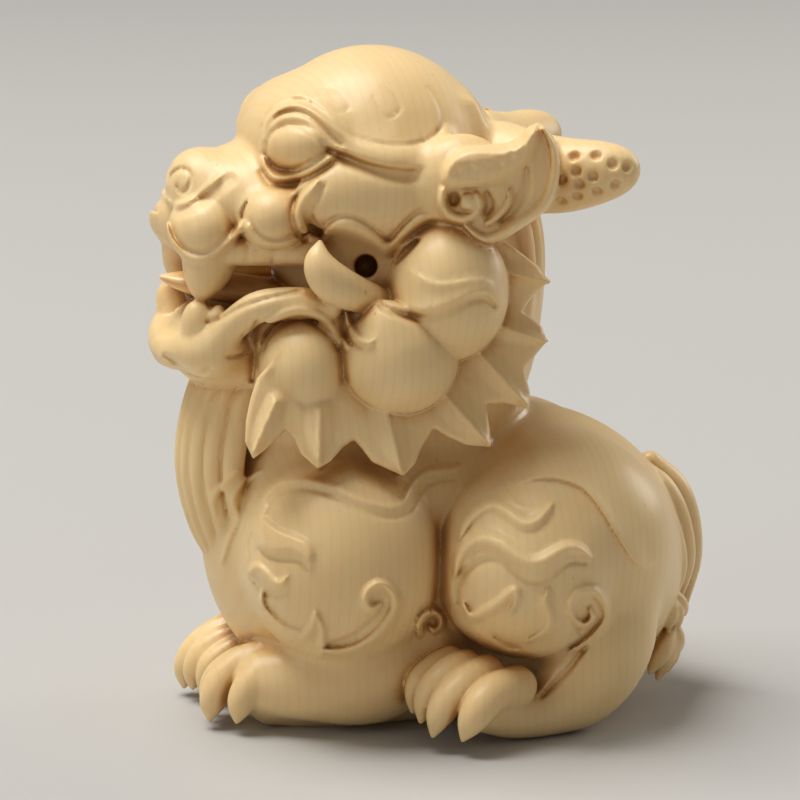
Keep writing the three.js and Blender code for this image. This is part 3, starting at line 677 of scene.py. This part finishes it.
def beard(block):
    """Strands side by side from the chin down to the breast, longest in the middle."""
    for x in np.linspace(0, 5.6, 5):
        back = 0.11 * x * x
        strand = [(0.8 * x, -20.6 + back, 35), (x, -22.7 + back, 30.5), (1.04 * x, -23.6 + back, 24.5),
                  (0.9 * x, -22.4 + back, 18.5), (0.55 * x, -20.2 + back, 13.6)]
        block.add(stem(strand, [1.15, 1.1, 1.05, 0.9, 0.3], 7), 0.15)


def tail(block):
    """Strands that lie up the rump, and tufts that fan out from a root."""
    for rows, radii in TAIL_STRANDS:
        block.add(stem(path(rows), radii), 0.15)
    for root, tips in TAIL_TUFTS:
        for tip in tips:
            middle = np.array(root) * 0.45 + np.array(tip) * 0.55 + (0, 0, 0.4)
            block.add(stem(path([root, middle, tip]), [0.5, 1.1, 0.3]), 0.1)


def draw(drawing, ridges, grooves, folds):
    """Puts the named ridges, grooves and folds of one part into a drawing."""
    for stroke in ridges.values():
        drawing.ridge(*stroke)
    for stroke in grooves.values():
        drawing.groove(*stroke)
    for stroke in folds.values():
        drawing.fold(*stroke)


def lines(block):
    """The drawn lines of the head, the curls, the shoulder and the haunch."""
    drawing = Relief()
    draw(drawing, HEAD_RIDGES, HEAD_GROOVES, HEAD_FOLDS)
    draw(drawing, CURL_RIDGES, CURL_GROOVES, CURL_FOLDS)
    draw(drawing, SHOULDER_RIDGES, SHOULDER_GROOVES, {})
    draw(drawing, HAUNCH_RIDGES, HAUNCH_GROOVES, HAUNCH_FOLDS)
    drawing.plate(*FIRST_FLAME)
    drawing.plate(*HAUNCH_HOLLOW)
    drawing.dome(*EYEBALL)
    drawing.lay(block, (0, -28, 0), (24, 28, 64))


def bore(block, u, v, radius, depth):
    """Round hole that runs along a pixel's ray from the near surface to a depth in millimetres."""
    start = block.touch(u, v, -0.3)
    way = sight(u, v)
    hole = [start, start + way * depth / 2, start + way * depth]
    block.cut(stem(hole, [radius, radius, radius * 0.8]), 0.3)


def horn(block):
    """The horn, with round dimples where the rays of their pixels meet it."""
    axis = [(500, 165, 5), (530, 172, 8), (565, 175, 10), (598, 172, 12.2), (617, 170, 13.3), (627, 169, 13.8)]
    block.add(stem(path(axis), [4.2, 3.9, 3.55, 2.95, 2.2, 0.9]), 0.8)
    for u, v in HORN_DIMPLES:
        block.cut(egg(block.touch(u, v, 0), (0.55, 0.55, 0.55)), 0.12)


def tusk(block):
    """The hollow behind the tusk, and the tusk that rises from the corner of the mouth."""
    for x in (14.8, 13):
        hollow = [(330, 250, x), (350, 254, x - 0.8), (370, 264, x - 1.2)]
        block.cut(stem(path(hollow), [1, 1.5, 1.4]), 0.6)
    bore(block, 366, 266, 1.1, 6)
    rise = [(382, 302, 11.8), (356, 294, 12.8), (332, 282, 13.6), (319, 264, 13.6), (320, 241, 13)]
    block.add(stem(path(rise), [1.3, 1.7, 1.9, 1.4, 0.2], 7), 0.25)


def ear_middle(y, z):
    """How far out the ear's middle surface lies: it leans out to the back and to the top."""
    return 15 + 0.16 * (y - 2) + 0.05 * (z - 53)


def ear(block):
    """The ear's root and its leaf, with a raised lobe and rim, a curl at its root and hollows between them."""
    block.add(egg((12.4, 0.4, 53), (3.4, 4.6, 4.4)), 1)
    box = (11, -4.5, 45), (20, 10.5, 61)
    block.add(sheet(np.array(EAR_OUTLINE), ear_middle, 1.9, *box, 1.4), 0.5)
    drawing = Relief()
    drawing.plate(*EAR_LOBE)
    draw(drawing, EAR_RIDGES, EAR_GROOVES, {})
    for swelling in EAR_DOMES:
        drawing.dome(*swelling)
    drawing.lay(block, *box, 1.6)


def carve(step):
    """The whole figure, in the order in which one form covers another."""
    block = Block(BLOCK_LOW, BLOCK_HIGH, step)
    for make in (body, paws, mane, head, collar, curls, tail, beard, mouth, lines, horn, tusk, ear):
        make(block)
    floor = Form(BLOCK_LOW, (BLOCK_HIGH[0], BLOCK_HIGH[1], 0), lambda x, y, z: z + 0 * x + 0 * y)
    block.cut(floor, 0)
    return block


# From the grid of distances to a mesh.

CORNERS = np.array(list(np.ndindex(2, 2, 2)))
EDGES = [(a, b) for a in range(8) for b in range(a + 1, 8) if np.abs(CORNERS[a] - CORNERS[b]).sum() == 1]


def crossed_cells(gaps):
    """Cells that the surface crosses, and each one's point: the mean of the crossings of its edges."""
    inside = gaps < 0
    counts = np.zeros(np.array(gaps.shape) - 1, np.int8)
    a, b, c = counts.shape
    for x, y, z in CORNERS:
        counts += inside[x:x + a, y:y + b, z:z + c]
    cells = np.argwhere((counts > 0) & (counts < 8))
    values = np.stack([gaps[tuple((cells + corner).T)] for corner in CORNERS], 1)
    total, crossings = np.zeros(cells.shape), np.zeros((len(cells), 1))
    for a, b in EDGES:
        crossed = (values[:, a] < 0) != (values[:, b] < 0)
        share = values[:, a] / np.where(crossed, values[:, a] - values[:, b], 1)
        place = CORNERS[a] + share[:, None] * (CORNERS[b] - CORNERS[a])
        total += np.where(crossed[:, None], place, 0)
        crossings += crossed[:, None]
    return cells, cells + total / crossings


def skin(block):
    """Surface net of the whole figure: a point in each crossed cell, and round each grid edge that the surface
    crosses the square of its four cells, turned so that it faces out."""
    gaps = block.whole()
    cells, points = crossed_cells(gaps)
    number = np.full(np.array(gaps.shape) - 1, -1, np.int32)
    number[tuple(cells.T)] = np.arange(len(cells))
    inside = gaps < 0
    squares = []
    for axis in range(3):
        one, two = np.roll(np.eye(3, dtype=int), -axis, 0)[1:]
        here, there = [slice(1, -1)] * 3, [slice(1, -1)] * 3
        here[axis], there[axis] = slice(0, -1), slice(1, None)
        here, there = inside[tuple(here)], inside[tuple(there)]
        start = np.argwhere(here != there) + 1 - np.eye(3, dtype=int)[axis]
        ring = [number[tuple((start - step).T)] for step in (one + two, two, 0 * one, one)]
        ring = np.stack(ring, 1)
        squares.append(np.where(here[here != there][:, None], ring, ring[:, ::-1]))
    middle = np.array([len(block.axes[0]) - 1, 0, 0])
    return block.low + block.step * (points - middle), np.concatenate(squares)


def turned_slope(block, points):
    """Unit slope at points of either half: the far half's is the near half's with x turned round."""
    slope = block.slope(np.column_stack([np.abs(points[:, 0]), points[:, 1:]]))
    slope[:, 0] *= np.where(points[:, 0] < 0, -1, 1)
    return slope


def settled(block, points, rounds):
    """Points moved onto the surface, each round by their distance against the slope."""
    for _ in range(rounds):
        points = points - turned_slope(block, points) * block.sample(points)[:, None]
    return points


def hollowness(block, points, slope):
    """How shut in each point is, from 0 in the open to 1: how far the wood beside it comes nearer than a plain."""
    shut = 0
    for reach, share in HOLLOW_REACHES:
        shut = shut + share * np.clip(1 - block.sample(points + reach * slope) / reach, 0, 1)
    return shut


def mesh_from(name, points, squares):
    mesh = bpy.data.meshes.new(name)
    mesh.vertices.add(len(points))
    mesh.vertices.foreach_set("co", points.astype(np.float32).ravel())
    mesh.loops.add(squares.size)
    mesh.loops.foreach_set("vertex_index", squares.astype(np.int32).ravel())
    mesh.polygons.add(len(squares))
    mesh.polygons.foreach_set("loop_start", np.arange(0, squares.size, 4, dtype=np.int32))
    mesh.update(calc_edges=True)
    return mesh


def thinned(piece, most):
    """Collapses the edges that matter least until there are at most that many triangles."""
    triangles = sum(len(polygon.vertices) - 2 for polygon in piece.data.polygons)
    if triangles > most:
        modifier = piece.modifiers.new("fewer", "DECIMATE")
        modifier.ratio = most / triangles
        shown = piece.evaluated_get(bpy.context.evaluated_depsgraph_get())
        piece.data = bpy.data.meshes.new_from_object(shown)
        piece.modifiers.clear()


def places_of(mesh):
    places = np.empty(len(mesh.vertices) * 3, np.float32)
    mesh.vertices.foreach_get("co", places)
    return places.reshape(-1, 3).astype(float)


# Finish.


class Net:
    """A material's nodes. A node is made with its inputs, each a number, a colour or another node's output."""

    def __init__(self, name):
        self.material = bpy.data.materials.new(name)
        self.material.use_nodes = True
        self.tree = self.material.node_tree
        self.tree.nodes.clear()

    def node(self, kind, inputs=None, **settings):
        made = self.tree.nodes.new(kind)
        for name, value in settings.items():
            setattr(made, name, value)
        for name, value in (inputs or {}).items():
            if isinstance(value, bpy.types.NodeSocket):
                self.tree.links.new(value, made.inputs[name])
            else:
                made.inputs[name].default_value = value
        return made

    def value(self, operation, a, b=0.0, c=0.0):
        return self.node("ShaderNodeMath", {0: a, 1: b, 2: c}, operation=operation).outputs[0]

    def spread(self, value, low, high, first=0.0, last=1.0):
        """A value's share of the way from low to high, eased, and taken between first and last."""
        inputs = {"Value": value, "From Min": low, "From Max": high, "To Min": first, "To Max": last}
        return self.node("ShaderNodeMapRange", inputs, interpolation_type="SMOOTHSTEP").outputs["Result"]

    def mix(self, share, a, b, how="MIX"):
        made = self.node("ShaderNodeMix", data_type="RGBA", blend_type=how)
        for socket, value in zip((made.inputs["Factor"], made.inputs[6], made.inputs[7]), (share, a, b)):
            if isinstance(value, bpy.types.NodeSocket):
                self.tree.links.new(value, socket)
            else:
                socket.default_value = value
        return made.outputs[2]

    def noise(self, place, scale, detail=2.0, roughness=0.5):
        inputs = {"Vector": place, "Scale": scale, "Detail": detail, "Roughness": roughness}
        return self.node("ShaderNodeTexNoise", inputs).outputs["Fac"]

    def stretched(self, place, factors):
        inputs = {0: place, 1: factors}
        return self.node("ShaderNodeVectorMath", inputs, operation="MULTIPLY").outputs[0]


def boxwood(look):
    """Oiled boxwood. Growth rings lie round an upright axis beside the figure, warm and then dark shade is painted
    into the hollows, which are also glossier than the crests, and fine fibres and tool marks run over it. Lengths are
    in metres."""
    net = Net("boxwood")
    place = net.node("ShaderNodeTexCoord").outputs["Object"]
    hollow = net.node("ShaderNodeAttribute", attribute_name="hollow").outputs["Fac"]
    from_pith = net.node("ShaderNodeVectorMath", {0: place, 1: PITH}, operation="SUBTRACT").outputs[0]
    level = net.stretched(from_pith, (1.0, 1.0, 0.04))
    distance = net.node("ShaderNodeVectorMath", {0: level}, operation="LENGTH").outputs["Value"]
    drift = net.noise(place, 70.0, 1.0)
    bent = net.value("MULTIPLY_ADD", drift, 0.0016, distance)
    ring = net.value("SINE", net.value("MULTIPLY", bent, 2 * np.pi / look.ring_width))
    broad = net.value("SINE", net.value("MULTIPLY", bent, 2 * np.pi / (4.3 * look.ring_width)))
    late = net.spread(ring, 0.2, 1.0)
    fibres = net.noise(net.stretched(place, (1.0, 1.0, 0.08)), 5200.0, 2.0)
    cloud = net.noise(place, 95.0, 3.0)
    # Painted shade: the more shut in a point, the more its colour goes to warm amber and then to dark brown, in place
    # of the shade and warm bounce light that fall in hollows.
    painted_warm_share = net.spread(hollow, 0.16, 0.72)
    painted_deep_share = net.spread(hollow, 0.5, 0.95)

    colour = net.mix(net.spread(cloud, 0.3, 0.7, 0.0, 0.5), look.pale, look.honey)
    colour = net.mix(net.value("MULTIPLY", late, look.ring_strength), colour, look.ring_colour)
    colour = net.mix(net.spread(broad, -1.0, 1.0, 0.0, 0.14), colour, look.honey)
    colour = net.mix(net.spread(fibres, 0.52, 0.8, 0.0, 0.16), colour, look.ring_colour)
    # Painted shade in the hollows: warm shade first, then dark shade in the deepest.
    colour = net.mix(net.value("MULTIPLY", painted_warm_share, 0.62), colour, look.painted_warm_shade)
    colour = net.mix(net.value("MULTIPLY", painted_deep_share, 0.6), colour, look.painted_deep_shade_and_pores)
    pores = net.node("ShaderNodeTexVoronoi", {"Vector": net.stretched(place, (1.0, 1.0, 0.45)), "Scale": 620.0})
    speck = net.spread(pores.outputs["Distance"], 0.1, 0.04, 0.0, 0.38)
    rare = net.spread(net.noise(place, 260.0, 1.0), 0.56, 0.66)
    # Pores: the wood's own rare dark specks, in the same colour as the painted deep shade.
    colour = net.mix(net.value("MULTIPLY", speck, rare), colour, look.painted_deep_shade_and_pores)

    patches = net.noise(place, 330.0, 2.0)
    polish = net.spread(net.value("MULTIPLY_ADD", patches, 0.35, hollow), 0.3, 0.75)
    roughness = net.value("MULTIPLY_ADD", polish, -0.2, look.roughness)
    marks = net.noise(net.stretched(place, (1.0, 0.6, 0.5)), 1500.0, 3.0, 0.6)
    height = net.value("MULTIPLY_ADD", fibres, 0.25, net.value("MULTIPLY", marks, 0.5))
    height = net.value("MULTIPLY_ADD", speck, -0.3, height)
    bump = net.node("ShaderNodeBump", {"Strength": look.grain_depth, "Distance": 0.00006, "Height": height})
    shader = net.node("ShaderNodeBsdfPrincipled", {
        "Base Color": colour, "Roughness": roughness, "Normal": bump.outputs["Normal"], "IOR": 1.45,
        "Specular IOR Level": 0.42, "Subsurface Weight": look.glow, "Subsurface Radius": (1.0, 0.5, 0.2),
        "Subsurface Scale": 0.0012, "Coat Weight": look.wax, "Coat Roughness": 0.24, "Coat IOR": 1.4})
    net.node("ShaderNodeOutputMaterial", {"Surface": shader.outputs[0]})
    return net.material


def plain(name, colour, roughness):
    net = Net(name)
    shader = net.node("ShaderNodeBsdfPrincipled", {"Base Color": colour, "Roughness": roughness})
    net.node("ShaderNodeOutputMaterial", {"Surface": shader.outputs[0]})
    return net.material


# The add-on: sizes and colours, one operator for the figure and one for the studio, and their panel.

FINE_STEP = 0.21
HOLLOW_REACHES = ((0.7, 0.3), (1.6, 0.35), (3.2, 0.35))
PITH = (0.014, -0.075, 0.0)


class QilinSettings(bpy.types.PropertyGroup):
    """Sizes and colours of the carved figure."""

    most_triangles: IntProperty(
        name="Triangles", description="Most triangles that the figure keeps", default=194000, min=1000)
    ring_width: FloatProperty(
        name="Ring width", description="Distance between growth rings", default=0.0009, unit="LENGTH", precision=5)
    ring_strength: FloatProperty(
        name="Ring strength", description="How much of the ring colour late wood takes", default=0.12, subtype="FACTOR")
    roughness: FloatProperty(
        name="Roughness", description="Roughness of the crests", default=0.46, subtype="FACTOR")
    glow: FloatProperty(
        name="Glow", description="Share of light that spreads under the surface", default=0.3, subtype="FACTOR")
    wax: FloatProperty(
        name="Wax", description="Weight of the waxed coat", default=0.18, subtype="FACTOR")
    grain_depth: FloatProperty(
        name="Grain depth", description="Strength of the fibres and tool marks", default=0.35, subtype="FACTOR")
    pale: FloatVectorProperty(
        name="Pale wood", description="Colour of the crests", default=(0.86, 0.64, 0.33, 1), size=4, subtype="COLOR")
    honey: FloatVectorProperty(
        name="Honey wood", description="Colour of the broad bands and clouds", default=(0.80, 0.55, 0.25, 1), size=4,
        subtype="COLOR")
    ring_colour: FloatVectorProperty(
        name="Late wood", description="Colour of the ring lines and fibres", default=(0.70, 0.44, 0.18, 1), size=4,
        subtype="COLOR")
    # Colour painted into the hollows as warm shade.
    painted_warm_shade: FloatVectorProperty(
        name="Painted warm shade", description="Colour painted into hollows as warm shade", default=(0.66, 0.34, 0.09, 1), size=4,
        subtype="COLOR")
    # Colour painted into the deepest hollows as dark shade, and also the colour of the wood's pores.
    painted_deep_shade_and_pores: FloatVectorProperty(
        name="Painted deep shade and pores", description="Colour painted into the deepest hollows as shade, and of the pores", default=(0.32, 0.12, 0.03, 1), size=4,
        subtype="COLOR")


class StudioSettings(bpy.types.PropertyGroup):
    """Sizes, brightness and colours of the studio."""

    floor_side: FloatProperty(
        name="Floor", description="Side of the square floor", default=6.0, unit="LENGTH")
    floor_colour: FloatVectorProperty(
        name="Floor colour", description="Colour of the floor", default=(0.5, 0.49, 0.47, 1), size=4, subtype="COLOR")
    world_colour: FloatVectorProperty(
        name="Surroundings", description="Colour of the light from all round", default=(1.0, 0.98, 0.95, 1), size=4,
        subtype="COLOR")
    world_strength: FloatProperty(
        name="Surroundings' strength", description="Strength of the light from all round", default=0.2)
    key_power: FloatProperty(
        name="Key", description="Power of the light overhead, in watts", default=21.0)
    fill_power: FloatProperty(
        name="Fill", description="Power of the light by the camera, in watts", default=1.6)
    rim_power: FloatProperty(
        name="Rim", description="Power of the light behind the right shoulder, in watts", default=2.6)


class QILIN_OT_carve(bpy.types.Operator):
    """Carve the figure, lay its drawing, and finish it in boxwood"""

    bl_idname = "qilin.carve"
    bl_label = "Carve the Qilin"

    def execute(self, context):
        look = context.scene.qilin
        block = carve(FINE_STEP)
        points, squares = skin(block)
        scale = (CAD_BOX[1].z - CAD_BOX[0].z) / FIGURE_HEIGHT
        mesh = mesh_from("carved_qilin_wood", settled(block, points, 2) * scale, squares)
        piece = bpy.data.objects.new("carved_qilin_wood", mesh)
        context.scene.collection.objects.link(piece)
        thinned(piece, look.most_triangles)
        mesh = piece.data
        mesh.polygons.foreach_set("use_smooth", np.ones(len(mesh.polygons), bool))
        points = places_of(mesh) / scale
        slope = turned_slope(block, points)
        # How shut in each point is; the boxwood paints warm and dark shade into the hollows from it, and makes them
        # glossier.
        hollow = mesh.attributes.new("hollow", "FLOAT", "POINT")
        hollow.data.foreach_set("value", hollowness(block, points, slope).astype(np.float32))
        mesh.normals_split_custom_set_from_vertices(slope.tolist())
        mesh.materials.append(boxwood(look))
        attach(piece, "root")
        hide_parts(NODE)
        return {"FINISHED"}


def soft_light(name, direction, distance, side, power, colour):
    """Square lamp that looks at the figure's middle from a direction."""
    middle = Vector(VIEW_TARGET) / 1000
    way = Vector(direction).normalized()
    lamp = bpy.data.lights.new(name, "AREA")
    lamp.size, lamp.energy, lamp.color = side, power, colour
    holder = bpy.data.objects.new(name, lamp)
    holder.location = middle + way * distance
    holder.rotation_euler = way.to_track_quat("Z", "Y").to_euler()
    bpy.context.scene.collection.objects.link(holder)


class QILIN_OT_studio(bpy.types.Operator):
    """Set up the floor, the camera and the lights"""

    bl_idname = "qilin.studio"
    bl_label = "Set up the Studio"

    def execute(self, context):
        look = context.scene.studio
        half = look.floor_side / 2
        mesh = bpy.data.meshes.new("floor")
        mesh.from_pydata([(-half, -half, 0), (half, -half, 0), (half, half, 0), (-half, half, 0)], [], [(0, 1, 2, 3)])
        floor = bpy.data.objects.new("floor", mesh)
        mesh.materials.append(plain("floor", look.floor_colour, 0.5))
        context.scene.collection.objects.link(floor)

        right, up, back = Vector(RIGHT), Vector(UP), Vector(BACK)
        lens = bpy.data.cameras.new("camera")
        lens.sensor_width = 36.0
        lens.lens = FOCAL_PIXELS / PICTURE_SIDE * lens.sensor_width
        camera = bpy.data.objects.new("camera", lens)
        turn = Matrix((right, up, back)).transposed().to_4x4()
        camera.matrix_world = Matrix.Translation(Vector(EYE_POINT) / 1000) @ turn
        context.scene.collection.objects.link(camera)
        context.scene.camera = camera

        white, warm = (1.0, 0.985, 0.96), (1.0, 0.95, 0.88)
        soft_light("key", -0.4 * right + 1.2 * up + 0.12 * back, 1.3, 0.8, look.key_power, white)
        soft_light("fill", -0.9 * right + 0.3 * up + 0.8 * back, 1.2, 0.5, look.fill_power, white)
        soft_light("rim", 0.9 * right + 0.5 * up - 0.6 * back, 1.0, 0.4, look.rim_power, warm)

        world = bpy.data.worlds.new("surroundings")
        world.use_nodes = True
        background = world.node_tree.nodes["Background"]
        background.inputs["Color"].default_value = look.world_colour
        background.inputs["Strength"].default_value = look.world_strength
        context.scene.world = world
        context.scene.view_settings.view_transform = "Standard"
        return {"FINISHED"}


class QILIN_PT_panel(bpy.types.Panel):
    """The figure's and the studio's sizes, colours and operators"""

    bl_idname = "QILIN_PT_panel"
    bl_label = "Carved Qilin"
    bl_space_type = "VIEW_3D"
    bl_region_type = "UI"
    bl_category = "Qilin"

    def draw(self, context):
        for settings, operator in ((context.scene.qilin, QILIN_OT_carve), (context.scene.studio, QILIN_OT_studio)):
            box = self.layout.box()
            for name in settings.__annotations__:
                box.prop(settings, name)
            box.operator(operator.bl_idname)


CLASSES = (QilinSettings, StudioSettings, QILIN_OT_carve, QILIN_OT_studio, QILIN_PT_panel)


def register():
    for kind in CLASSES:
        bpy.utils.register_class(kind)
    bpy.types.Scene.qilin = PointerProperty(type=QilinSettings)
    bpy.types.Scene.studio = PointerProperty(type=StudioSettings)


def unregister():
    del bpy.types.Scene.studio
    del bpy.types.Scene.qilin
    for kind in reversed(CLASSES):
        bpy.utils.unregister_class(kind)


def main():
    register()
    bpy.ops.qilin.carve()
    bpy.ops.qilin.studio()


if __name__ == "__main__":
    main()
